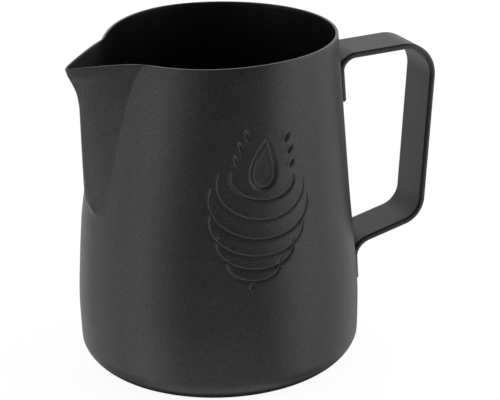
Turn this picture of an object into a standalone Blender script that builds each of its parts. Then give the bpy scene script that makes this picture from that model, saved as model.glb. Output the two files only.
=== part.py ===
"""Milk frothing pitcher: a deep-drawn steel shell with a pressed pouring spout, and a bent strap
handle held to it by four spot welds.

Frame: the origin is the centre of the underside, +Z is up, the handle points along +X and the spout
points close to -X. Blender units are metres.
"""

import math

import bmesh
import bpy
import numpy as np
from mathutils import Vector

# Shell. Each outline is a list of (height, value) points that a smooth curve joins.
HEIGHT = 0.1088
SHEET = 0.0009
WALL_RADIUS = (
    (0.0, 0.0455), (0.020, 0.04605), (0.0368, 0.0451), (0.0532, 0.0437),
    (0.080, 0.0419), (HEIGHT, 0.0401),
)
CORNER_HEIGHT = 0.0080
CORNER_RADIAL = 0.0086
CORNER_POWER = 1.19

# Spout. Its azimuth is counted from the handle, so it is 3.5 degrees off facing away from it.
SPOUT_AZIMUTH = math.radians(183.5)
SPOUT_START = 0.056
RIDGE_RADIUS = (
    (SPOUT_START, 0.0434), (0.062, 0.04534), (0.069, 0.04556), (0.080, 0.04568), (0.091, 0.04574),
    (0.096, 0.04631), (0.101, 0.04778), (0.105, 0.04916), (HEIGHT, 0.04982),
)
CREASE_DEGREES = (
    (SPOUT_START, 0.0), (0.0563, 4.5), (0.0573, 7.8), (0.0595, 9.0), (0.063, 10.6), (0.072, 13.7),
    (0.080, 15.8), (0.090, 18.5), (0.096, 20.7), (0.102, 23.2), (HEIGHT, 28.3),
)
NOSE_START = 0.062
NOSE_EASE = 0.41
NOSE_ROUND_LOW = 0.0056
NOSE_ROUND_RIM = 0.00095
NOSE_LIMIT = 0.46
PINCH = 0.0052
PINCH_START = 0.050
PINCH_END_AZIMUTH = math.radians(142)
PINCH_POWER = 5.6
LIP_DIP = 0.0041
LIP_POWER = 1.93
SIDE_DIP = 0.00136
DIP_START = 0.090
DIP_END_AZIMUTH = math.radians(104.5)

# Strap handle: centre-line corners as (distance from the axis, height), and the bend radii there.
STRAP_WIDTH = 0.0167
STRAP_THICKNESS = 0.0019
TAB_GAP = 0.0003
UPPER_TAB_END = 0.0821
UPPER_TAB_CORNER = 0.0973
GRIP_TOP = (0.0761, 0.0981)
GRIP_BOTTOM = (0.0713, 0.0379)
LOWER_TAB_CORNER = 0.0319
LOWER_TAB_END = 0.0189
BEND_RADII = (0.0046, 0.0106, 0.0084, 0.0060)

# Spot welds: each nugget lies half in a pocket in the tab.
NUGGET_RADIUS = 0.0020
NUGGET_FACE_RADIUS = 0.0017
NUGGET_THICKNESS = 0.0006
NUGGET_CLEARANCE = 0.00015
NUGGET_SIDE = 0.0042
POCKET_RADIUS = 0.0023
POCKET_DEPTH = 0.0007
WELD_HEIGHTS = {"upper": 0.0865, "lower": 0.0226}

# Mesh density
DISC_SIDES = 20
MIN_SPOUT_SPREAD = math.radians(8)
SPOUT_COLUMNS = (0.0, 0.12, 0.28, 0.48, 0.7, 0.9, 1.0, 1.12)
WALL_COLUMNS = 24
CORNER_ROWS = 7
WALL_HEIGHTS = (
    0.014, 0.020, 0.028, 0.037, 0.046, 0.0535, SPOUT_START, 0.058, 0.0605, 0.064, 0.072, 0.081,
    0.090, 0.095, 0.0995, 0.1035, 0.1065, HEIGHT,
)
STRAP_COLUMNS = 6
BEND_STEPS = 8
TAB_STEPS = 3


def curve_through(points):
    """A smooth curve through (position, value) points, which never overshoots them."""
    xs, ys = np.array(points).T
    steps = np.diff(xs)
    slopes = np.diff(ys) / steps
    product = slopes[1:] * slopes[:-1]
    inner = np.where(product > 0, 2 * product / (slopes[1:] + slopes[:-1] + 1e-30), 0.0)
    tangents = np.concatenate([slopes[:1], inner, slopes[-1:]])

    def value(x):
        i = int(np.clip(np.searchsorted(xs, x) - 1, 0, len(xs) - 2))
        t = (x - xs[i]) / steps[i]
        rise = ys[i] + (ys[i + 1] - ys[i]) * t * t * (3 - 2 * t)
        lean = tangents[i] * t * (1 - t) ** 2 - tangents[i + 1] * t * t * (1 - t)
        return rise + lean * steps[i]

    return value


wall_radius = curve_through(WALL_RADIUS)
ridge_radius = curve_through(RIDGE_RADIUS)
crease_degrees = curve_through(CREASE_DEGREES)


def rise_between(value, low, high):
    """0 below low, 1 above high, and straight between them."""
    return min(max((value - low) / (high - low), 0.0), 1.0)


def fade(azimuth, start, end):
    """1 up to the start azimuth, easing down to 0 at the end azimuth."""
    return math.cos(rise_between(azimuth, start, end) * math.pi / 2)


def crease_azimuth(height):
    return math.radians(crease_degrees(max(height, SPOUT_START)))


def drawn_wall(azimuth, height, inset):
    """Radius of the wall beside the spout, which the press pinches in towards the rim."""
    pinch = PINCH * rise_between(height, PINCH_START, HEIGHT)
    hold = fade(azimuth, crease_azimuth(height), PINCH_END_AZIMUTH) ** PINCH_POWER
    return wall_radius(height) - inset - pinch * hold


def shell_radius(azimuth, height, inset):
    """Radius of the shell at an azimuth from the spout's middle. The spout's plan is a hyperbola
    through both creases and the ridge, so its sides are nearly flat and its nose is round."""
    crease = crease_azimuth(height)
    if azimuth >= crease:
        return drawn_wall(azimuth, height, inset)
    edge = drawn_wall(crease, height, inset)
    side, back = edge * math.sin(crease), edge * math.cos(crease)
    reach = max(ridge_radius(height) - inset - back, 1e-5)
    tighter = rise_between(height, NOSE_START, HEIGHT) ** NOSE_EASE
    nose = NOSE_ROUND_LOW + (NOSE_ROUND_RIM - NOSE_ROUND_LOW) * tighter
    nose = min(nose, NOSE_LIMIT * side * side / reach)
    spread = reach * reach / (side * side - 2 * reach * nose)
    centre = back + reach + nose * spread
    cos, sin = math.cos(azimuth), math.sin(azimuth)
    square = cos * cos - spread * sin * sin
    half = centre * cos
    rest = centre * centre - (nose * spread) ** 2
    return rest / (half + math.sqrt(half * half - square * rest))


def lip_dip(azimuth, height):
    """How far a point near the rim lies below its row: most at the spout's tip."""
    crease = crease_azimuth(height)
    across = math.sin(azimuth) / math.sin(crease) if azimuth < crease else 1.0
    tip = (LIP_DIP - SIDE_DIP) * (1 - across) ** LIP_POWER
    side = SIDE_DIP * fade(azimuth, crease, DIP_END_AZIMUTH) ** 2
    return (tip + side) * rise_between(height, DIP_START, HEIGHT) ** 2


def shell_azimuths(height):
    """Mesh columns on one side of the spout's middle: some follow the crease, the rest are even."""
    spread = max(crease_azimuth(height), MIN_SPOUT_SPREAD)
    near = [fraction * spread for fraction in SPOUT_COLUMNS]
    far = np.linspace(near[-1], math.pi, WALL_COLUMNS + 1)[1:]
    half = near + list(far)
    return half + [-azimuth for azimuth in reversed(half[1:-1])]


def wall_ring(height, inset):
    """One ring of points round the wall."""
    ring = []
    for azimuth in shell_azimuths(height):
        radius = shell_radius(abs(azimuth), height, inset)
        angle = SPOUT_AZIMUTH + azimuth
        z = height - lip_dip(abs(azimuth), height)
        ring.append(Vector((radius * math.cos(angle), radius * math.sin(angle), z)))
    return ring


def corner_ring(turn, inset):
    """One ring round the soft corner under the wall. turn is 0 at the base and 90 degrees at the wall."""
    z = CORNER_HEIGHT - (CORNER_HEIGHT - inset) * abs(math.cos(turn)) ** CORNER_POWER
    drop = (CORNER_RADIAL - inset) * (1 - math.sin(turn) ** CORNER_POWER)
    radius = wall_radius(z) - inset - drop
    angles = [SPOUT_AZIMUTH + azimuth for azimuth in shell_azimuths(0)]
    return [Vector((radius * math.cos(a), radius * math.sin(a), z)) for a in angles]


def sheet_face_rings(inset):
    """The rings of one face of the sheet, from the base up to the rim."""
    turns = [math.pi / 2 * row / CORNER_ROWS for row in range(CORNER_ROWS + 1)]
    corner = [corner_ring(turn, inset) for turn in turns]
    wall = [wall_ring(height, inset) for height in WALL_HEIGHTS]
    return corner + wall


def ringed_mesh(name, rings):
    """A closed mesh through a stack of rings, with a flat cap on the first and on the last."""
    bm = bmesh.new()
    loops = [[bm.verts.new(point) for point in ring] for ring in rings]
    for low, high in zip(loops, loops[1:]):
        for i in range(len(low)):
            bm.faces.new((low[i - 1], low[i], high[i], high[i - 1]))
    bm.faces.new(reversed(loops[0]))
    bm.faces.new(loops[-1])
    bmesh.ops.recalc_face_normals(bm, faces=bm.faces)
    mesh = bpy.data.meshes.new(name)
    bm.to_mesh(mesh)
    bm.free()
    return mesh


def add_object(name, mesh, material, crease_angle=35):
    obj = bpy.data.objects.new(name, mesh)
    bpy.context.scene.collection.objects.link(obj)
    obj.data.materials.append(material)
    mesh.shade_smooth()
    mesh.set_sharp_from_angle(angle=math.radians(crease_angle))
    return obj


def add_material(name, colour, roughness, metallic):
    material = bpy.data.materials.new(name)
    material.use_nodes = True
    shader = material.node_tree.nodes["Principled BSDF"]
    shader.inputs["Base Color"].default_value = (*colour, 1.0)
    shader.inputs["Roughness"].default_value = roughness
    shader.inputs["Metallic"].default_value = metallic
    return material


def build_body(material):
    rings = sheet_face_rings(0.0) + sheet_face_rings(SHEET)[::-1]
    return add_object("body", ringed_mesh("body", rings), material)


def wall_offset(height):
    """Distance from the axis to the strap's centre line where the strap lies on the wall."""
    return wall_radius(height) + TAB_GAP + STRAP_THICKNESS / 2


def strap_path():
    """The strap's centre line as (distance, height, bend) points. bend is 1 where the strap is
    rolled to the wall's curve and 0 where it is flat across."""
    corners = [
        Vector((wall_offset(UPPER_TAB_END), UPPER_TAB_END)),
        Vector((wall_offset(UPPER_TAB_CORNER), UPPER_TAB_CORNER)),
        Vector(GRIP_TOP),
        Vector(GRIP_BOTTOM),
        Vector((wall_offset(LOWER_TAB_CORNER), LOWER_TAB_CORNER)),
        Vector((wall_offset(LOWER_TAB_END), LOWER_TAB_END)),
    ]
    arcs = [
        rounded_corner(*corners[i : i + 3], radius) for i, radius in enumerate(BEND_RADII)
    ]
    upper_tab = [corners[0].lerp(arcs[0][0], step / TAB_STEPS) for step in range(TAB_STEPS)]
    lower_tab = [arcs[3][-1].lerp(corners[5], (step + 1) / TAB_STEPS) for step in range(TAB_STEPS)]
    unroll = [0.5 + 0.5 * math.cos(math.pi * step / BEND_STEPS) for step in range(BEND_STEPS + 1)]
    path = [(point, 1.0) for point in upper_tab]
    path += list(zip(arcs[0], unroll))
    path += [(point, 0.0) for point in arcs[1] + arcs[2]]
    path += list(zip(arcs[3], reversed(unroll)))
    path += [(point, 1.0) for point in lower_tab]
    return path


def rounded_corner(before, corner, after, radius):
    """Points on the arc that rounds a corner of the centre line."""
    back = (before - corner).normalized()
    ahead = (after - corner).normalized()
    half_angle = back.angle(ahead) / 2
    centre = corner + (back + ahead).normalized() * radius / math.sin(half_angle)
    start = corner + back * radius / math.tan(half_angle) - centre
    end = corner + ahead * radius / math.tan(half_angle) - centre
    turn = start.angle_signed(end)
    arc = []
    for step in range(BEND_STEPS + 1):
        # angle_signed is positive clockwise
        angle = -turn * step / BEND_STEPS
        cos, sin = math.cos(angle), math.sin(angle)
        arc.append(centre + Vector((start.x * cos - start.y * sin, start.x * sin + start.y * cos)))
    return arc


def strap_ring(point, along, bend):
    """One rectangular section of the strap: across its outer face and back across its inner one."""
    outward = Vector((-along.y, along.x)) * STRAP_THICKNESS / 2
    sides = np.linspace(-STRAP_WIDTH / 2, STRAP_WIDTH / 2, STRAP_COLUMNS + 1)
    ring = []
    for face, order in ((1, sides), (-1, sides[::-1])):
        for side in order:
            roll = bend * (point.x - math.sqrt(point.x**2 - side**2))
            at = point + face * outward
            ring.append(Vector((at.x - roll, side, at.y)))
    return ring


def build_handle(material, pockets):
    path = strap_path()
    rings = []
    for i, (point, bend) in enumerate(path):
        before = path[max(i - 1, 0)][0]
        after = path[min(i + 1, len(path) - 1)][0]
        rings.append(strap_ring(point, (after - before).normalized(), bend))
    handle = add_object("handle", ringed_mesh("handle", rings), material)
    for pocket in pockets:
        cut = handle.modifiers.new(pocket.name, "BOOLEAN")
        cut.operation = "DIFFERENCE"
        cut.solver = "EXACT"
        cut.object = pocket
    return handle


def wall_normal(height, side):
    """A point on the wall under the strap, and the wall's outward direction there."""
    radius = wall_radius(height)
    angle = math.asin(side / radius)
    step = 0.001
    slope = (wall_radius(height + step) - wall_radius(height - step)) / (2 * step)
    point = Vector((radius * math.cos(angle), side, height))
    return point, Vector((math.cos(angle), math.sin(angle), -slope)).normalized()


def disc(name, height, side, start, layers):
    """A round body standing off the wall, through (distance, radius) layers along its normal."""
    foot, normal = wall_normal(height, side)
    across = normal.orthogonal().normalized()
    other = normal.cross(across)
    rings = []
    for distance, radius in layers:
        centre = foot + normal * (start + distance)
        angles = [2 * math.pi * step / DISC_SIDES for step in range(DISC_SIDES)]
        rings.append([centre + radius * (across * math.cos(a) + other * math.sin(a)) for a in angles])
    return ringed_mesh(name, rings)


def build_pocket(name, height, side):
    """The cutter for one weld's pocket in the strap's inner face."""
    depth = TAB_GAP + POCKET_DEPTH - NUGGET_CLEARANCE
    layers = ((0.0, POCKET_RADIUS), (depth, POCKET_RADIUS))
    pocket = bpy.data.objects.new(name, disc(name, height, side, NUGGET_CLEARANCE, layers))
    bpy.context.scene.collection.objects.link(pocket)
    pocket.display_type = "WIRE"
    pocket.hide_render = True
    return pocket


def build_nugget(name, height, side, material):
    layers = (
        (0.0, NUGGET_FACE_RADIUS),
        (NUGGET_THICKNESS / 2, NUGGET_RADIUS),
        (NUGGET_THICKNESS, NUGGET_FACE_RADIUS),
    )
    return add_object(name, disc(name, height, side, NUGGET_CLEARANCE, layers), material)


def main():
    for obj in list(bpy.data.objects):
        bpy.data.objects.remove(obj, do_unlink=True)
    body_coat = add_material("body_powder_coat", (0.030, 0.030, 0.031), 0.55, 0.0)
    handle_coat = add_material("handle_powder_coat", (0.034, 0.034, 0.035), 0.5, 0.0)
    weld_steel = add_material("weld_steel", (0.32, 0.31, 0.30), 0.45, 1.0)
    build_body(body_coat)
    pockets = []
    for place, height in WELD_HEIGHTS.items():
        for hand, side in (("right", -NUGGET_SIDE), ("left", NUGGET_SIDE)):
            pockets.append(build_pocket(f"pocket_{place}_{hand}", height, side))
            build_nugget(f"weld_{place}_{hand}", height, side, weld_steel)
    build_handle(handle_coat, pockets)


main()
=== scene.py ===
"""Looks of the milk frothing pitcher: a powder-coated steel shell with a pressed spout and a pressed
leaf motif, its strap handle and the weld nuggets under the handle's tabs.

Frame: metres, +Z up, the origin at the centre of the underside, the handle along +X.
"""

import math

import bmesh
import bpy
import numpy as np
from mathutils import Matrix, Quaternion, Vector
from mathutils.kdtree import KDTree


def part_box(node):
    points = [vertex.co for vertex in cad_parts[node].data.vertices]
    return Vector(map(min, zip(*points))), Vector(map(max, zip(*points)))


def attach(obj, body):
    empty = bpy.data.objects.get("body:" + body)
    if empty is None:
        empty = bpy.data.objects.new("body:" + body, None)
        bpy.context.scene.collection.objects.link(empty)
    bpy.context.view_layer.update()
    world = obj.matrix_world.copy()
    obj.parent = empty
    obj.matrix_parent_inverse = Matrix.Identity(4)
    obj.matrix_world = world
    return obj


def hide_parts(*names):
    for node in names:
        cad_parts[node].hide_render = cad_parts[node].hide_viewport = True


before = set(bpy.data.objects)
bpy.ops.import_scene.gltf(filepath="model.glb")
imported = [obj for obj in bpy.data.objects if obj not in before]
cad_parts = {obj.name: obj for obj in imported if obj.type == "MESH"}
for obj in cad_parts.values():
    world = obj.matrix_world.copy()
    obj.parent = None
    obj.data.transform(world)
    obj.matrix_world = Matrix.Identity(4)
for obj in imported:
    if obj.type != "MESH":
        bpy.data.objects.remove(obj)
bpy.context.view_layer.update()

MM = 0.001
BODY_LOW, BODY_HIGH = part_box("body")
STRAP_LOW, STRAP_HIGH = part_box("handle")

# Shell, in metres: the same outlines as the CAD shell. Each list holds (height, value) points that a
# smooth curve joins.
HEIGHT = BODY_HIGH.z
SHEET = 0.9 * MM
WALL_RADIUS = (
    (0.0, 0.0455), (0.020, 0.04605), (0.0368, 0.0451), (0.0532, 0.0437),
    (0.080, 0.0419), (HEIGHT, 0.0401),
)
CORNER_HEIGHT = 8.0 * MM
CORNER_RADIAL = 8.6 * MM
CORNER_POWER = 1.19
SPOUT_AZIMUTH = math.radians(183.5)
SPOUT_START = 0.056
RIDGE_RADIUS = (
    (SPOUT_START, 0.0434), (0.062, 0.04534), (0.069, 0.04556), (0.080, 0.04568), (0.091, 0.04574),
    (0.096, 0.04631), (0.101, 0.04778), (0.105, 0.04916), (HEIGHT, 0.04982),
)
CREASE_DEGREES = (
    (SPOUT_START, 0.0), (0.0563, 4.5), (0.0573, 7.8), (0.0595, 9.0), (0.063, 10.6), (0.072, 13.7),
    (0.080, 15.8), (0.090, 18.5), (0.096, 20.7), (0.102, 23.2), (HEIGHT, 28.3),
)
CREASE_BLEND = 0.2 * MM
CREASE_BLEND_INSIDE = 1.8 * MM
CREASE_BLEND_FULL = 0.075
NOSE_START = 0.062
NOSE_EASE = 0.41
NOSE_ROUND_LOW = 5.6 * MM
NOSE_ROUND_RIM = 0.95 * MM
NOSE_LIMIT = 0.46
PINCH = 5.2 * MM
PINCH_START = 0.050
PINCH_END_AZIMUTH = math.radians(142)
PINCH_POWER = 5.6
LIP_DIP = 4.1 * MM
LIP_POWER = 1.93
SIDE_DIP = 1.36 * MM
DIP_START = 0.090
DIP_END_AZIMUTH = math.radians(104.5)
RIM_ROUND = 0.28 * MM
SHELL_SHARP_DEGREES = 60

# The crease's angle is kept above zero, and the spout's plan is worked out this many times as far
# round as the crease.
CREASE_LEAST_DEGREES = 0.02
SPOUT_PLAN_LIMIT = 1.6

# Shell mesh: its columns are close together across the spout and the motif. Its rows are given as
# (start height, spacing) zones.
FINE_STEP = math.radians(0.55)
COARSE_STEP = math.radians(2.0)
SPOUT_HALF_SPAN = math.radians(37)
CORNER_ROWS = 14
OUTER_ROWS = ((0.0085, 1.5 * MM), (0.038, 0.38 * MM), (0.092, 0.55 * MM), (HEIGHT, 0.0))
INNER_ROWS = ((0.0085, 2.5 * MM), (0.050, 1.0 * MM), (0.092, 0.8 * MM), (HEIGHT, 0.0))

# Motif: a latte-art leaf pressed into the shell, drawn in millimetres (across, up) on the wall. Each
# layer of the leaf has its bottom's height, half its width, how far its arms rise, and its strength.
MOTIF_AZIMUTH = math.radians(-94)
MOTIF_HEIGHT = 64.0 * MM
MOTIF_RADIUS = 43.0 * MM
MOTIF_REACH = (21.5, 26.0)
MOTIF_LEAN = math.radians(9)
LEAF_LAYERS = (
    (-22.4, 8.2, 5.0, 0.7), (-18.8, 12.4, 7.5, 1.0), (-14.6, 15.6, 10.0, 0.8),
    (-9.2, 16.8, 11.5, 1.0), (-3.0, 14.8, 10.6, 0.8), (3.2, 10.6, 6.4, 1.0),
)
LEAF_TURN = math.radians(104)
BUD_CENTRE = 14.5
BUD_SIZE = (5.0, 7.4)
BUD_OPENING = 0.25
BUD_POINT = 1.2
STEM = (-24.8, -22.8)
STEM_STRENGTH = 0.6
SPRIGS = ((8.8, 13.6), (7.8, 17.8), (6.2, 21.6))
SPRIG_RUN = (1.3, 2.6)
STROKE_STEP = 0.08
STROKE_SAMPLES = 200
STROKE_END_STRENGTH = 0.25
STROKE_FULLNESS = 0.6
STROKE_DEPTH = 0.66
STEEP_WALL = 0.56
SOFT_RAMP = 1.6
SWELL_HEIGHT = 0.12
SWELL_WIDTH = 0.9

# The mesh is cut finer along the strokes, once for each share of their width listed here. The margin
# is in millimetres, beyond the steep wall.
MOTIF_CUTS = (1.1, 0.8)
MOTIF_CUT_MARGIN = 0.4

# Wear and painted highlight: a layer of values from 0 to 1 on the mesh, which the coat's material
# reads as a lighter colour. On the rim it is wear and a painted highlight. Along the strokes' steep
# walls it is a painted highlight. The width is in millimetres. Vertices near the rim that face up
# this much are fully marked.
WEAR_AND_HIGHLIGHT = "wear_and_highlight"
RIM_FACES_UP = 0.75
STROKE_HIGHLIGHT_WIDTH = 0.28
STROKE_PAINTED_HIGHLIGHT = 0.17
WEAR_AND_HIGHLIGHT_COLOUR = (0.20, 0.20, 0.20)

# Strap handle, in metres: the same centre line as the CAD strap, through these (distance from the
# axis, height) corners and bends. Its section is a little wider, with rounded edges.
STRAP_EXTRA_WIDTH = 0.4 * MM
STRAP_WIDTH = STRAP_HIGH.y - STRAP_LOW.y + STRAP_EXTRA_WIDTH
STRAP_THICKNESS = 1.9 * MM
TAB_GAP = 0.3 * MM
UPPER_TAB_END = 0.0821
UPPER_TAB_CORNER = 0.0973
GRIP_TOP = (0.0761, 0.0981)
GRIP_BOTTOM = (0.0713, 0.0379)
LOWER_TAB_CORNER = 0.0319
LOWER_TAB_END = STRAP_LOW.z
BEND_RADII = (0.0046, 0.0106, 0.0084, 0.0060)
STRAP_EDGE = 0.68 * MM
STRAP_EDGE_STEPS = 10
STRAP_END_ROUND = 0.2 * MM
STRAP_END_SEGMENTS = 3
STRAP_SHARP_DEGREES = 50
TAB_CORNER = 0.8 * MM
STRAP_COLUMNS = 30
BEND_STEPS = 18
STRAP_STEP = 0.7 * MM
TAB_ROLL = 0.65

# Round prints that the welding tips leave on the tabs.
WELD_HEIGHTS = (0.0865, 0.0226)
WELD_SIDE = 4.2 * MM
WELD_MARK_RADIUS = 2.3 * MM
WELD_MARK_DEPTH = 0.10 * MM


def curve_through(points):
    """A smooth curve through (position, value) points, which never overshoots them."""
    xs, ys = np.array(points).T
    steps = np.diff(xs)
    slopes = np.diff(ys) / steps
    product = slopes[1:] * slopes[:-1]
    inner = np.where(product > 0, 2 * product / (slopes[1:] + slopes[:-1] + 1e-30), 0.0)
    tangents = np.concatenate([slopes[:1], inner, slopes[-1:]])

    def value(x):
        x = np.asarray(x, float)
        i = np.clip(np.searchsorted(xs, x) - 1, 0, len(xs) - 2)
        t = (x - xs[i]) / steps[i]
        rise = ys[i] + (ys[i + 1] - ys[i]) * t * t * (3 - 2 * t)
        lean = tangents[i] * t * (1 - t) ** 2 - tangents[i + 1] * t * t * (1 - t)
        return rise + lean * steps[i]

    return value


wall_radius = curve_through(WALL_RADIUS)
ridge_radius = curve_through(RIDGE_RADIUS)
crease_degrees = curve_through(CREASE_DEGREES)


def rise_between(value, low, high):
    """0 below low, 1 above high, and straight between them."""
    return np.clip((value - low) / (high - low), 0.0, 1.0)


def fade(azimuth, start, end):
    """1 up to the start azimuth, easing down to 0 at the end azimuth."""
    return np.cos(rise_between(azimuth, start, end) * np.pi / 2)


def crease_azimuth(height):
    degrees = crease_degrees(np.maximum(height, SPOUT_START))
    return np.radians(np.maximum(degrees, CREASE_LEAST_DEGREES))


def drawn_wall(azimuth, height, inset):
    """Radius of the wall beside the spout, which the press pinches in towards the rim."""
    pinch = PINCH * rise_between(height, PINCH_START, HEIGHT)
    hold = np.clip(fade(azimuth, crease_azimuth(height), PINCH_END_AZIMUTH), 0, 1) ** PINCH_POWER
    return wall_radius(height) - inset - pinch * hold


def shell_radius(azimuth, height, inset):
    """Radius of the shell at azimuths from the spout's middle. The spout's plan is a hyperbola
    through both creases and the ridge, so its sides are nearly flat and its nose is round."""
    crease = crease_azimuth(height)
    wall = drawn_wall(azimuth, height, inset)
    edge = drawn_wall(crease, height, inset)
    side, back = edge * np.sin(crease), edge * np.cos(crease)
    reach = np.maximum(ridge_radius(height) - inset - back, 1e-5)
    tighter = rise_between(height, NOSE_START, HEIGHT) ** NOSE_EASE
    nose = NOSE_ROUND_LOW + (NOSE_ROUND_RIM - NOSE_ROUND_LOW) * tighter
    nose = np.minimum(nose, NOSE_LIMIT * side * side / reach)
    spread = reach * reach / (side * side - 2 * reach * nose)
    centre = back + reach + nose * spread
    near = azimuth < SPOUT_PLAN_LIMIT * crease
    cos, sin = np.cos(np.where(near, azimuth, 0)), np.sin(np.where(near, azimuth, 0))
    square = cos * cos - spread * sin * sin
    half = centre * cos
    rest = centre * centre - (nose * spread) ** 2
    spout = rest / (half + np.sqrt(np.maximum(half * half - square * rest, 0)))
    softness = CREASE_BLEND if inset == 0 else CREASE_BLEND_INSIDE
    spout = np.where(near & (height > SPOUT_START), spout, wall - 2 * softness)
    blend = softness * rise_between(height, SPOUT_START, CREASE_BLEND_FULL) + 1e-9
    overlap = np.maximum(blend - np.abs(spout - wall), 0)
    return np.maximum(spout, wall) + overlap * overlap / (4 * blend)


def lip_dip(azimuth, height):
    """How far a point near the rim lies below its row: most at the spout's tip."""
    crease = crease_azimuth(height)
    across = np.where(azimuth < crease, np.sin(azimuth) / np.sin(crease), 1.0)
    tip = (LIP_DIP - SIDE_DIP) * (1 - across) ** LIP_POWER
    side = SIDE_DIP * fade(azimuth, crease, DIP_END_AZIMUTH) ** 2
    return (tip + side) * rise_between(height, DIP_START, HEIGHT) ** 2


def shell_azimuths():
    """Column azimuths round the shell, counted from the spout's middle."""
    motif = MOTIF_AZIMUTH - SPOUT_AZIMUTH + 2 * math.pi
    reach = MOTIF_REACH[0] * MM / MOTIF_RADIUS
    spans = (
        (-SPOUT_HALF_SPAN, SPOUT_HALF_SPAN, FINE_STEP),
        (SPOUT_HALF_SPAN, motif - reach, COARSE_STEP),
        (motif - reach, motif + reach, FINE_STEP),
        (motif + reach, 2 * math.pi - SPOUT_HALF_SPAN, COARSE_STEP),
    )
    parts = [np.linspace(a, b, round((b - a) / step), endpoint=False) for a, b, step in spans]
    return np.concatenate(parts)


def row_heights(zones):
    """Row heights from (start, step) zones, each reaching up to the next one's start."""
    parts = []
    for (low, step), (high, _) in zip(zones, zones[1:]):
        parts.append(np.linspace(low, high, round((high - low) / step), endpoint=False))
    return np.concatenate(parts)


def smoothed(grid, heights, azimuths):
    """A height-by-azimuth grid of radii, softened once along both directions. Its edge rows stay,
    and a straight slope stays straight where the spacing changes."""
    before = (azimuths - np.roll(azimuths, 1)) % (2 * math.pi)
    after = np.roll(before, -1)
    beside = (np.roll(grid, 1, 1) * after + np.roll(grid, -1, 1) * before) / (before + after)
    grid = (grid + beside) / 2
    below = np.diff(heights)[:-1, None]
    above = np.diff(heights)[1:, None]
    level = (grid[:-2] * above + grid[2:] * below) / (below + above)
    return np.vstack([grid[:1], (grid[1:-1] + level) / 2, grid[-1:]])


def swelling(share):
    """Stroke strength that swells from thin ends to a full middle."""
    middle = np.sin(np.pi * share) ** STROKE_FULLNESS
    return STROKE_END_STRENGTH + (1 - STROKE_END_STRENGTH) * middle


def stroke_points(curve, start, end, full=1.0):
    """Evenly spaced points along a curve of one parameter, as (across, up, strength, direction
    across, direction up)."""
    rough = np.array([curve(t) for t in np.linspace(start, end, STROKE_SAMPLES)])
    lengths = np.concatenate([[0], np.cumsum(np.linalg.norm(np.diff(rough, axis=0), axis=1))])
    spots = np.arange(0, lengths[-1], STROKE_STEP)
    line = np.stack([np.interp(spots, lengths, rough[:, axis]) for axis in (0, 1)], -1)
    cos, sin = math.cos(MOTIF_LEAN), math.sin(MOTIF_LEAN)
    line = line @ np.array([[cos, -sin], [sin, cos]])
    ahead = np.gradient(line, axis=0)
    ahead /= np.linalg.norm(ahead, axis=1)[:, None]
    return np.column_stack([line, full * swelling(spots / lengths[-1]), ahead])


def leaf_strokes():
    """The motif's strokes, each drawn with its steep wall on the left: nested cups that open
    upwards, a bud on top, a stem and short sprigs beside the bud."""

    def cup(turn):
        return half_width * math.sin(turn), bottom + rise * (1 - math.cos(turn))

    def bud(turn):
        width, height = BUD_SIZE
        narrowing = abs(math.sin(turn / 2)) ** BUD_POINT
        return -width * math.sin(turn) * narrowing, BUD_CENTRE + height * math.cos(turn)

    def stem(up):
        return 0.0, up

    def sprig(share):
        return side * (across + SPRIG_RUN[0] * share), up + SPRIG_RUN[1] * share

    strokes = []
    for bottom, half_width, rise, full in LEAF_LAYERS:
        strokes.append(stroke_points(cup, -LEAF_TURN, LEAF_TURN, full))
    strokes.append(stroke_points(bud, BUD_OPENING, 2 * math.pi - BUD_OPENING))
    strokes.append(stroke_points(stem, *STEM, STEM_STRENGTH))
    for across, up in SPRIGS:
        for side in (-1, 1):
            strokes.append(stroke_points(sprig, 0, 1))
    return np.concatenate(strokes)


def groove(aside, strength):
    """Depth of a stroke at a signed distance from its bottom line, in millimetres: a steep wall on
    one side, beyond which the metal stands up a little, and a long soft ramp on the other."""
    size = 0.5 + 0.5 * strength
    if aside > 0:
        share = min(aside / (STEEP_WALL * size), 1)
        swell = math.exp(-(((aside - STEEP_WALL) / SWELL_WIDTH) ** 2))
        return strength * (STROKE_DEPTH * (1 - share) - SWELL_HEIGHT * share * swell)
    share = min(-aside / (SOFT_RAMP * size), 1)
    return strength * STROKE_DEPTH * (1 - share) ** 2


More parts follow.
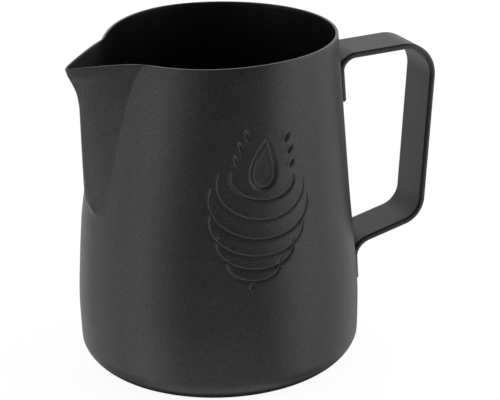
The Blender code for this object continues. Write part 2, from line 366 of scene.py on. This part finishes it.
def press_motif(mesh):
    """Presses the leaf into the outer skin: the faces along its strokes are cut finer, then the
    vertices there move in. It also marks the rim for wear and a painted highlight, and the
    strokes' steep walls for a painted highlight."""
    strokes = leaf_strokes()
    tree = KDTree(len(strokes))
    for i, (across, up, *_) in enumerate(strokes):
        tree.insert((across, up, 0), i)
    tree.balance()

    def nearest(point, normal):
        """Signed distance to the nearest stroke, positive on its steep side, and its strength."""
        across = (math.atan2(point.y, point.x) - MOTIF_AZIMUTH) * MOTIF_RADIUS / MM
        up = (point.z - MOTIF_HEIGHT) / MM
        outer_skin = normal.x * point.x + normal.y * point.y > 0
        if not outer_skin or abs(across) > MOTIF_REACH[0] or abs(up) > MOTIF_REACH[1]:
            return math.inf, 0.0
        _, index, gap = tree.find((across, up, 0))
        x, y, strength, ahead_x, ahead_y = strokes[index]
        left = ahead_x * (up - y) - ahead_y * (across - x)
        return math.copysign(gap, left), strength

    bm = bmesh.new()
    bm.from_mesh(mesh)
    for reach in MOTIF_CUTS:
        near = []
        for face in bm.faces:
            aside, _ = nearest(face.calc_center_median(), face.normal)
            if -reach * SOFT_RAMP < aside < reach * STEEP_WALL + MOTIF_CUT_MARGIN:
                near.append(face)
        edges = list({edge for face in near for edge in face.edges})
        bmesh.ops.subdivide_edges(bm, edges=edges, cuts=1, use_grid_fill=True)
    bm.normal_update()
    wear_and_highlight = bm.verts.layers.float.new(WEAR_AND_HIGHLIGHT)
    for vert in bm.verts:
        aside, strength = nearest(vert.co, vert.normal)
        # Painted highlight: a lighter coat colour along each stroke's steep wall.
        if -SOFT_RAMP < aside < 3 * SWELL_WIDTH:
            from_edge = (aside - 0.5 * STEEP_WALL) / STROKE_HIGHLIGHT_WIDTH
            vert[wear_and_highlight] = STROKE_PAINTED_HIGHLIGHT * strength * math.exp(-from_edge * from_edge)
            outward = Vector((vert.co.x, vert.co.y, 0)).normalized()
            vert.co -= outward * groove(aside, strength) * MM
        # The rim's up-facing rounding: wear and a painted highlight, as a lighter coat colour.
        if vert.co.z > DIP_START and vert.normal.z > RIM_FACES_UP:
            vert[wear_and_highlight] = 1.0
    bm.to_mesh(mesh)
    bm.free()


def shell_face(inset, zones, azimuths):
    """Rings of one face of the sheet, from the base up to the rim's full height, as points."""
    turns = np.linspace(0, math.pi / 2, CORNER_ROWS, endpoint=False)
    corner_z = CORNER_HEIGHT - (CORNER_HEIGHT - inset) * np.cos(turns) ** CORNER_POWER
    drop = (CORNER_RADIAL - inset) * (1 - np.sin(turns) ** CORNER_POWER)
    corner_r = wall_radius(corner_z) - inset - drop
    corner_rows = np.broadcast_to(corner_r[:, None], (CORNER_ROWS, len(azimuths)))
    heights = np.append(row_heights(zones), HEIGHT)
    rows, columns = np.meshgrid(heights, np.abs(azimuth_from_spout(azimuths)), indexing="ij")
    radii = smoothed(shell_radius(columns, rows, inset), heights, azimuths)
    z = rows - lip_dip(columns, rows)
    corner_zs = np.broadcast_to(corner_z[:, None], corner_rows.shape)
    radius = np.vstack([corner_rows, radii])
    height = np.vstack([corner_zs, z])
    angle = SPOUT_AZIMUTH + azimuths
    return np.stack([radius * np.cos(angle), radius * np.sin(angle), height], -1)


def azimuth_from_spout(azimuths):
    return (azimuths + math.pi) % (2 * math.pi) - math.pi


def rim_rings(outer, inner):
    """Rings over the cut edge of the sheet, with both its corners rounded. outer and inner are the
    highest rings of the two faces, at the edge's full height."""
    across = inner - outer
    across = across / np.linalg.norm(across, axis=1)[:, None]
    up = np.array([0.0, 0.0, 1.0])
    rings = []
    for turn in np.radians((0, 30, 60, 90)):
        rings.append(outer + RIM_ROUND * (across * (1 - math.cos(turn)) + up * (math.sin(turn) - 1)))
    for turn in np.radians((90, 60, 30, 0)):
        rings.append(inner - RIM_ROUND * (across * (1 - math.cos(turn)) - up * (math.sin(turn) - 1)))
    return rings


def grid_mesh(name, rings):
    """A closed mesh through a stack of rings with equal counts, with a cap on the first and last."""
    rings = np.array(rings)
    count, size = rings.shape[:2]
    ids = np.arange(count * size).reshape(count, size)
    quads = np.stack([ids[:-1], np.roll(ids[:-1], -1, 1), np.roll(ids[1:], -1, 1), ids[1:]], -1)
    faces = [tuple(int(i) for i in quad) for quad in quads.reshape(-1, 4)]
    faces.append(tuple(int(i) for i in ids[0][::-1]))
    faces.append(tuple(int(i) for i in ids[-1]))
    mesh = bpy.data.meshes.new(name)
    mesh.from_pydata([tuple(p) for p in rings.reshape(-1, 3)], [], faces)
    bm = bmesh.new()
    bm.from_mesh(mesh)
    bmesh.ops.recalc_face_normals(bm, faces=bm.faces)
    bm.to_mesh(mesh)
    bm.free()
    return mesh


def add_object(name, data):
    made = bpy.data.objects.new(name, data)
    bpy.context.scene.collection.objects.link(made)
    return made


def add_piece(name, mesh, material, sharp_degrees):
    piece = add_object(name, mesh)
    mesh.materials.append(material)
    mesh.shade_smooth()
    mesh.set_sharp_from_angle(angle=math.radians(sharp_degrees))
    return piece


def build_shell(material):
    azimuths = shell_azimuths()
    outer = shell_face(0.0, OUTER_ROWS, azimuths)
    inner = shell_face(SHEET, INNER_ROWS, azimuths)
    rings = list(outer[:-2]) + rim_rings(outer[-1], inner[-1]) + list(inner[:-2])[::-1]
    mesh = grid_mesh("shell", rings)
    press_motif(mesh)
    return add_piece("shell", mesh, material, SHELL_SHARP_DEGREES)


def wall_offset(height):
    """Distance from the axis to the strap's centre line where the strap lies on the wall."""
    return float(wall_radius(height)) + TAB_GAP + STRAP_THICKNESS / 2


def rounded_corner(before, corner, after, radius):
    """Points on the arc that rounds a corner of the centre line."""
    back = (before - corner).normalized()
    ahead = (after - corner).normalized()
    half_angle = back.angle(ahead) / 2
    centre = corner + (back + ahead).normalized() * radius / math.sin(half_angle)
    start = corner + back * radius / math.tan(half_angle) - centre
    end = corner + ahead * radius / math.tan(half_angle) - centre
    turn = start.angle_signed(end)
    arc = []
    for step in range(BEND_STEPS + 1):
        # angle_signed is positive clockwise
        angle = -turn * step / BEND_STEPS
        cos, sin = math.cos(angle), math.sin(angle)
        arc.append(centre + Vector((start.x * cos - start.y * sin, start.x * sin + start.y * cos)))
    return arc


def straight_run(start, end):
    """Points from start up to, but not at, end."""
    count = max(round((end - start).length / STRAP_STEP), 1)
    return [start.lerp(end, step / count) for step in range(count)]


def strap_path():
    """The strap's centre line as (point, roll) pairs. roll is 0 where the strap is flat across and
    would be 1 where it follows the wall's curve."""
    corners = [
        Vector((wall_offset(UPPER_TAB_END), UPPER_TAB_END)),
        Vector((wall_offset(UPPER_TAB_CORNER), UPPER_TAB_CORNER)),
        Vector(GRIP_TOP),
        Vector(GRIP_BOTTOM),
        Vector((wall_offset(LOWER_TAB_CORNER), LOWER_TAB_CORNER)),
        Vector((wall_offset(LOWER_TAB_END), LOWER_TAB_END)),
    ]
    first, second, third, last = [
        rounded_corner(*corners[i : i + 3], radius) for i, radius in enumerate(BEND_RADII)
    ]
    turns = np.linspace(0, math.pi, BEND_STEPS + 1)
    unroll = [TAB_ROLL * (0.5 + 0.5 * math.cos(turn)) for turn in turns]
    flat = straight_run(first[-1], second[0])[1:] + second
    flat += straight_run(second[-1], third[0])[1:] + third
    flat += straight_run(third[-1], last[0])[1:]
    lower_tab = straight_run(last[-1], corners[5])[1:] + [corners[5]]
    path = [(point, TAB_ROLL) for point in straight_run(corners[0], first[0])]
    path += list(zip(first, unroll))
    path += [(point, 0.0) for point in flat]
    path += list(zip(last, reversed(unroll)))
    path += [(point, TAB_ROLL) for point in lower_tab]
    return path


def weld_mark(side, height):
    """Depth of the shallow round prints that the welding tips leave on the tabs' outer face."""
    depth = 0.0
    for weld_height in WELD_HEIGHTS:
        for weld_side in (-WELD_SIDE, WELD_SIDE):
            gap = math.hypot(side - weld_side, height - weld_height) / WELD_MARK_RADIUS
            depth = max(depth, WELD_MARK_DEPTH * (1 - min(gap, 1.0) ** 4))
    return depth


def strap_section(half_width):
    """(side, lift) pairs round a section of the strap: the outer face, one rounded edge, the inner
    face and the other rounded edge."""
    flat = half_width - STRAP_EDGE
    sides = np.linspace(-flat, flat, STRAP_COLUMNS + 1)
    turns = np.linspace(math.pi / 2, -math.pi / 2, STRAP_EDGE_STEPS + 1)[1:-1]
    half = STRAP_THICKNESS / 2
    edge = [(flat + STRAP_EDGE * math.cos(turn), half * math.sin(turn)) for turn in turns]
    section = [(side, half) for side in sides] + edge
    section += [(side, -half) for side in sides[::-1]]
    section += [(-side, lift) for side, lift in reversed(edge)]
    return section


def strap_ring(point, along, roll, half_width):
    """One section of the strap, set square to its centre line."""
    outward = Vector((-along.y, along.x))
    ring = []
    for side, lift in strap_section(half_width):
        rolled = roll * (point.x - math.sqrt(point.x**2 - side**2))
        on_outer_face = lift == STRAP_THICKNESS / 2
        mark = weld_mark(side, point.y) if on_outer_face and roll == TAB_ROLL else 0.0
        at = point + outward * (lift - mark)
        ring.append((at.x - rolled, side, at.y))
    return ring


def build_handle(material):
    path = strap_path()
    lengths = [0.0]
    for (before, _), (after, _) in zip(path, path[1:]):
        lengths.append(lengths[-1] + (after - before).length)
    rings = []
    for i, (point, roll) in enumerate(path):
        before = path[max(i - 1, 0)][0]
        after = path[min(i + 1, len(path) - 1)][0]
        to_end = min(lengths[i], lengths[-1] - lengths[i])
        short = max(TAB_CORNER - to_end, 0.0)
        cut = TAB_CORNER - math.sqrt(TAB_CORNER**2 - short**2)
        half_width = STRAP_WIDTH / 2 - cut
        rings.append(strap_ring(point, (after - before).normalized(), roll, half_width))
    handle = add_piece("strap", grid_mesh("strap", rings), material, STRAP_SHARP_DEGREES)
    ends = handle.modifiers.new("soft_ends", "BEVEL")
    ends.width = STRAP_END_ROUND
    ends.segments = STRAP_END_SEGMENTS
    ends.limit_method = "ANGLE"
    ends.angle_limit = math.radians(STRAP_SHARP_DEGREES)
    return handle


# Materials. Noise scales are per metre of the object. Tones multiply the coat's colour.
BODY_COLOUR = (0.008, 0.008, 0.008)
HANDLE_COLOUR = (0.010, 0.010, 0.010)
COAT_ROUGHNESS = 0.38
COAT_ROUGHNESS_CHANGE = 0.04
COAT_SHINE = (0.3, 0.7)
GRAIN_SCALE = 1700.0
GRAIN_TONES = ((0.3, 0.5), (0.7, 1.6))
GRAIN_HEIGHT = 0.05 * MM
GRAIN_BUMP = 0.9
SLOW_SCALE = 55.0
STEEL_SCALE = 1500.0
STEEL_COLOURS = ((0.20, 0.18, 0.16), (0.42, 0.41, 0.40))
STEEL_ROUGHNESS = (0.35, 0.6)


def node(tree, kind, **inputs):
    """A shader node with the given input values. An underscore stands for a space in a name."""
    made = tree.nodes.new(kind)
    for name, value in inputs.items():
        made.inputs[name.replace("_", " ")].default_value = value
    return made


def new_material(name):
    """A material with nodes, and its node tree and main shader."""
    material = bpy.data.materials.new(name)
    material.use_nodes = True
    return material, material.node_tree, material.node_tree.nodes["Principled BSDF"]


def vary(tree, source, low, high, target):
    """Drives a shader input from low to high with a noise's value."""
    span = node(tree, "ShaderNodeMapRange", To_Min=low, To_Max=high)
    tree.links.new(source.outputs["Fac"], span.inputs["Value"])
    tree.links.new(span.outputs["Result"], target)


def plain_matte(name, colour):
    """A dull material of one colour, for what stands round the pitcher."""
    material, _, shader = new_material(name)
    shader.inputs["Base Color"].default_value = (*colour, 1)
    shader.inputs["Roughness"].default_value = 1.0
    shader.inputs["Specular IOR Level"].default_value = 0.0
    return material, shader


def powder_coat(name, colour):
    """Matte powder coat: a fine pebbled grain of tone and shine with slow changes of gloss, lighter
    where the mesh is marked for wear and painted highlight."""
    material, tree, shader = new_material(name)
    link = tree.links.new
    place = tree.nodes.new("ShaderNodeTexCoord")
    grain = node(tree, "ShaderNodeTexNoise", Scale=GRAIN_SCALE, Detail=3.0, Roughness=0.6)
    slow = node(tree, "ShaderNodeTexNoise", Scale=SLOW_SCALE, Detail=4.0, Roughness=0.55)
    link(place.outputs["Object"], grain.inputs["Vector"])
    link(place.outputs["Object"], slow.inputs["Vector"])
    tone = tree.nodes.new("ShaderNodeValToRGB")
    for stop, (position, shade) in zip(tone.color_ramp.elements, GRAIN_TONES):
        stop.position = position
        stop.color = (*[c * shade for c in colour], 1)
    link(grain.outputs["Fac"], tone.inputs["Fac"])
    # Lighter colour where the mesh is marked: wear and painted highlight on the rim, painted highlight
    # along the strokes.
    wear_and_highlight = tree.nodes.new("ShaderNodeAttribute")
    wear_and_highlight.attribute_name = WEAR_AND_HIGHLIGHT
    wear_and_highlight_mix = node(tree, "ShaderNodeMix")
    wear_and_highlight_mix.data_type = "RGBA"
    wear_and_highlight_mix.inputs["B"].default_value = (*WEAR_AND_HIGHLIGHT_COLOUR, 1)
    link(wear_and_highlight.outputs["Fac"], wear_and_highlight_mix.inputs["Factor"])
    link(tone.outputs["Color"], wear_and_highlight_mix.inputs["A"])
    link(wear_and_highlight_mix.outputs["Result"], shader.inputs["Base Color"])
    least = COAT_ROUGHNESS - COAT_ROUGHNESS_CHANGE
    most = COAT_ROUGHNESS + COAT_ROUGHNESS_CHANGE
    vary(tree, slow, least, most, shader.inputs["Roughness"])
    vary(tree, grain, *COAT_SHINE, shader.inputs["Specular IOR Level"])
    bump = node(tree, "ShaderNodeBump", Strength=GRAIN_BUMP, Distance=GRAIN_HEIGHT)
    link(grain.outputs["Fac"], bump.inputs["Height"])
    link(bump.outputs["Normal"], shader.inputs["Normal"])
    return material


def weld_steel():
    """Bare fused steel of the nuggets."""
    material, tree, shader = new_material("weld_steel")
    shader.inputs["Metallic"].default_value = 1.0
    place = tree.nodes.new("ShaderNodeTexCoord")
    mottle = node(tree, "ShaderNodeTexNoise", Scale=STEEL_SCALE, Detail=4.0)
    tree.links.new(place.outputs["Object"], mottle.inputs["Vector"])
    tone = tree.nodes.new("ShaderNodeValToRGB")
    for stop, colour in zip(tone.color_ramp.elements, STEEL_COLOURS):
        stop.color = (*colour, 1)
    tree.links.new(mottle.outputs["Fac"], tone.inputs["Fac"])
    tree.links.new(tone.outputs["Color"], shader.inputs["Base Color"])
    vary(tree, mottle, *STEEL_ROUGHNESS, shader.inputs["Roughness"])
    return material


# Camera: how far off, how high and from which side it looks at a point on the body's axis, then
# how it is panned, tilted and rolled from there. Angles are in radians.
CAMERA_DISTANCE = 0.6122
CAMERA_ELEVATION = 0.35546
CAMERA_SIDE = math.radians(21.97)
CAMERA_AIM_HEIGHT = 0.0561
CAMERA_PAN = 0.0180
CAMERA_TILT = -0.00588
CAMERA_ROLL = -0.02913
CAMERA_LENS = 135.38
CAMERA_SENSOR = 36.0
CAMERA_CLIP_START = 0.01


def build_camera():
    data = bpy.data.cameras.new("camera")
    data.lens = CAMERA_LENS
    data.sensor_width = CAMERA_SENSOR
    data.clip_start = CAMERA_CLIP_START
    camera = add_object("camera", data)
    aim = Vector((0, 0, CAMERA_AIM_HEIGHT))
    level = CAMERA_DISTANCE * math.cos(CAMERA_ELEVATION)
    rise = CAMERA_DISTANCE * math.sin(CAMERA_ELEVATION)
    place = Vector((-level * math.sin(CAMERA_SIDE), -level * math.cos(CAMERA_SIDE), rise)) + aim
    turn = (aim - place).to_track_quat("-Z", "Y")
    turn @= Quaternion((0, 1, 0), -CAMERA_PAN)
    turn @= Quaternion((1, 0, 0), CAMERA_TILT)
    turn @= Quaternion((0, 0, 1), CAMERA_ROLL)
    camera.rotation_mode = "QUATERNION"
    camera.location = place
    camera.rotation_quaternion = turn
    bpy.context.scene.camera = camera


# Softboxes, each as: angle of its middle from the camera's side of the pitcher (positive to the
# camera's right), angular width, lowest and highest point in metres, radiance.
PANEL_DISTANCE = 1.2
PANELS = {
    "left_edge": (-55, 40, -0.9, 0.7, 0.56),
    "left_wide": (-85, 70, -0.9, 0.7, 0.76),
    "right_edge": (70, 40, -0.9, 0.7, 0.66),
    "right_wide": (77, 70, -0.9, 0.7, 0.40),
    "left_back": (-150, 50, -0.9, 0.7, 0.58),
    "right_back": (130, 50, -0.9, 0.7, 0.50),
    "right_high": (100, 70, 0.0, 0.7, 1.04),
    "back_high": (180, 70, 0.0, 1.15, 0.70),
}
AMBIENT = 0.18

# The coat doesn't mirror the floor, so lamps under the floor give it the shine of a pale table: one in
# front, at (distance from the axis, height), one wide one, and three close to the base. Each of those
# three has its angle as above, its nearest and farthest distance from the axis, width and radiance.
FRONT_GLOW_PLACE = (0.35, -0.15)
FRONT_GLOW_SIZE = (0.4, 0.7)
FRONT_GLOW = 0.53
UNDER_GLOW_HEIGHT = -0.9
UNDER_GLOW_SIZE = (2.6, 2.6)
UNDER_GLOW = 0.08
TABLE_GLOW_HEIGHT = -0.01
TABLE_GLOW_SPREAD = math.radians(80)
TABLE_GLOWS = {
    "table_front": (0, 0.068, 0.16, 0.16, 1.4),
    "table_left": (-70, 0.068, 0.16, 0.20, 0.9),
    "table_right": (70, 0.068, 0.16, 0.20, 0.8),
}
# Painted contact shadow: a black disc under the base, which the coat mirrors.
CONTACT_RADIUS = 0.0435
CONTACT_HEIGHT = -0.0005
CONTACT_SIDES = 96
CONTACT_SHADOW_COLOUR = (0.01, 0.01, 0.01)
FLOOR_HALF_WIDTH = 3.0
FLOOR_COLOUR = (0.25, 0.25, 0.25)
FLOOR_GLOW = 0.92


def area_light(name, place, outward, size, radiance):
    """A rectangular softbox at place which shines against the outward direction."""
    data = bpy.data.lights.new(name, "AREA")
    data.shape = "RECTANGLE"
    data.size, data.size_y = size
    data.energy = radiance * math.pi * size[0] * size[1]
    light = add_object(name, data)
    light.location = place
    light.rotation_mode = "QUATERNION"
    light.rotation_quaternion = outward.to_track_quat("Z", "Y")
    light.visible_camera = False
    return light


def build_world():
    world = bpy.data.worlds.new("studio")
    bpy.context.scene.world = world
    world.use_nodes = True
    background = world.node_tree.nodes["Background"]
    background.inputs["Color"].default_value = (1, 1, 1, 1)
    background.inputs["Strength"].default_value = AMBIENT


def build_lights():
    down = Vector((0, 0, -1))
    front = -math.pi / 2 - CAMERA_SIDE
    for name, (side, width, low, high, radiance) in PANELS.items():
        angle = front + math.radians(side)
        outward = Vector((math.cos(angle), math.sin(angle), 0))
        place = outward * PANEL_DISTANCE + Vector((0, 0, (low + high) / 2))
        across = 2 * PANEL_DISTANCE * math.tan(math.radians(width / 2))
        area_light(name, place, outward, (across, high - low), radiance)
    ahead, rise = FRONT_GLOW_PLACE
    place = Vector((math.cos(front) * ahead, math.sin(front) * ahead, rise))
    area_light("front_glow", place, down, FRONT_GLOW_SIZE, FRONT_GLOW)
    place = Vector((0, 0, UNDER_GLOW_HEIGHT))
    area_light("under_glow", place, down, UNDER_GLOW_SIZE, UNDER_GLOW)
    upwards = Quaternion((1, 0, 0), math.pi)
    for name, (side, near, far, width, radiance) in TABLE_GLOWS.items():
        angle = front + math.radians(side)
        middle = (near + far) / 2
        place = Vector((math.cos(angle) * middle, math.sin(angle) * middle, TABLE_GLOW_HEIGHT))
        light = area_light(name, place, down, (width, far - near), radiance)
        light.data.spread = TABLE_GLOW_SPREAD
        light.rotation_quaternion = Quaternion((0, 0, 1), angle - math.pi / 2) @ upwards


def flat_stage(name, outline, material):
    """A level sheet that stands round the pitcher and isn't part of it."""
    mesh = bpy.data.meshes.new(name)
    mesh.from_pydata(outline, [], [tuple(range(len(outline)))])
    mesh.materials.append(material)
    sheet = add_object(name, mesh)
    return sheet


def build_floor():
    """A pale floor that glows by itself. Lamps shine through it and nothing mirrors it."""
    half = FLOOR_HALF_WIDTH
    corners = [(-half, -half, 0), (half, -half, 0), (half, half, 0), (-half, half, 0)]
    material, shader = plain_matte("floor", FLOOR_COLOUR)
    shader.inputs["Emission Color"].default_value = (1, 1, 1, 1)
    shader.inputs["Emission Strength"].default_value = FLOOR_GLOW
    floor = flat_stage("floor", corners, material)
    floor.visible_glossy = False
    floor.visible_shadow = False


def build_contact_shade():
    """A black disc just under the base, hidden from the camera: a painted contact shadow, which the
    coat mirrors where the pitcher stands on the table.
    """
    ring = []
    for turn in np.linspace(0, 2 * math.pi, CONTACT_SIDES, endpoint=False):
        across, ahead = CONTACT_RADIUS * math.cos(turn), CONTACT_RADIUS * math.sin(turn)
        ring.append((across, ahead, CONTACT_HEIGHT))
    material, _ = plain_matte("contact_shade", CONTACT_SHADOW_COLOUR)
    shade = flat_stage("contact_shade", ring, material)
    shade.visible_camera = False


def main():
    shell = build_shell(powder_coat("body_powder_coat", BODY_COLOUR))
    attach(shell, "root")
    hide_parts("body")

    strap = build_handle(powder_coat("handle_powder_coat", HANDLE_COLOUR))
    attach(strap, "root")
    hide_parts("handle")

    nugget_steel = weld_steel()
    for name, cad_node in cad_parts.items():
        if name.startswith("weld_"):
            cad_node.data.materials.clear()
            cad_node.data.materials.append(nugget_steel)

    build_camera()
    build_world()
    build_lights()
    build_floor()
    build_contact_shade()
    bpy.context.scene.view_settings.view_transform = "Standard"


main()
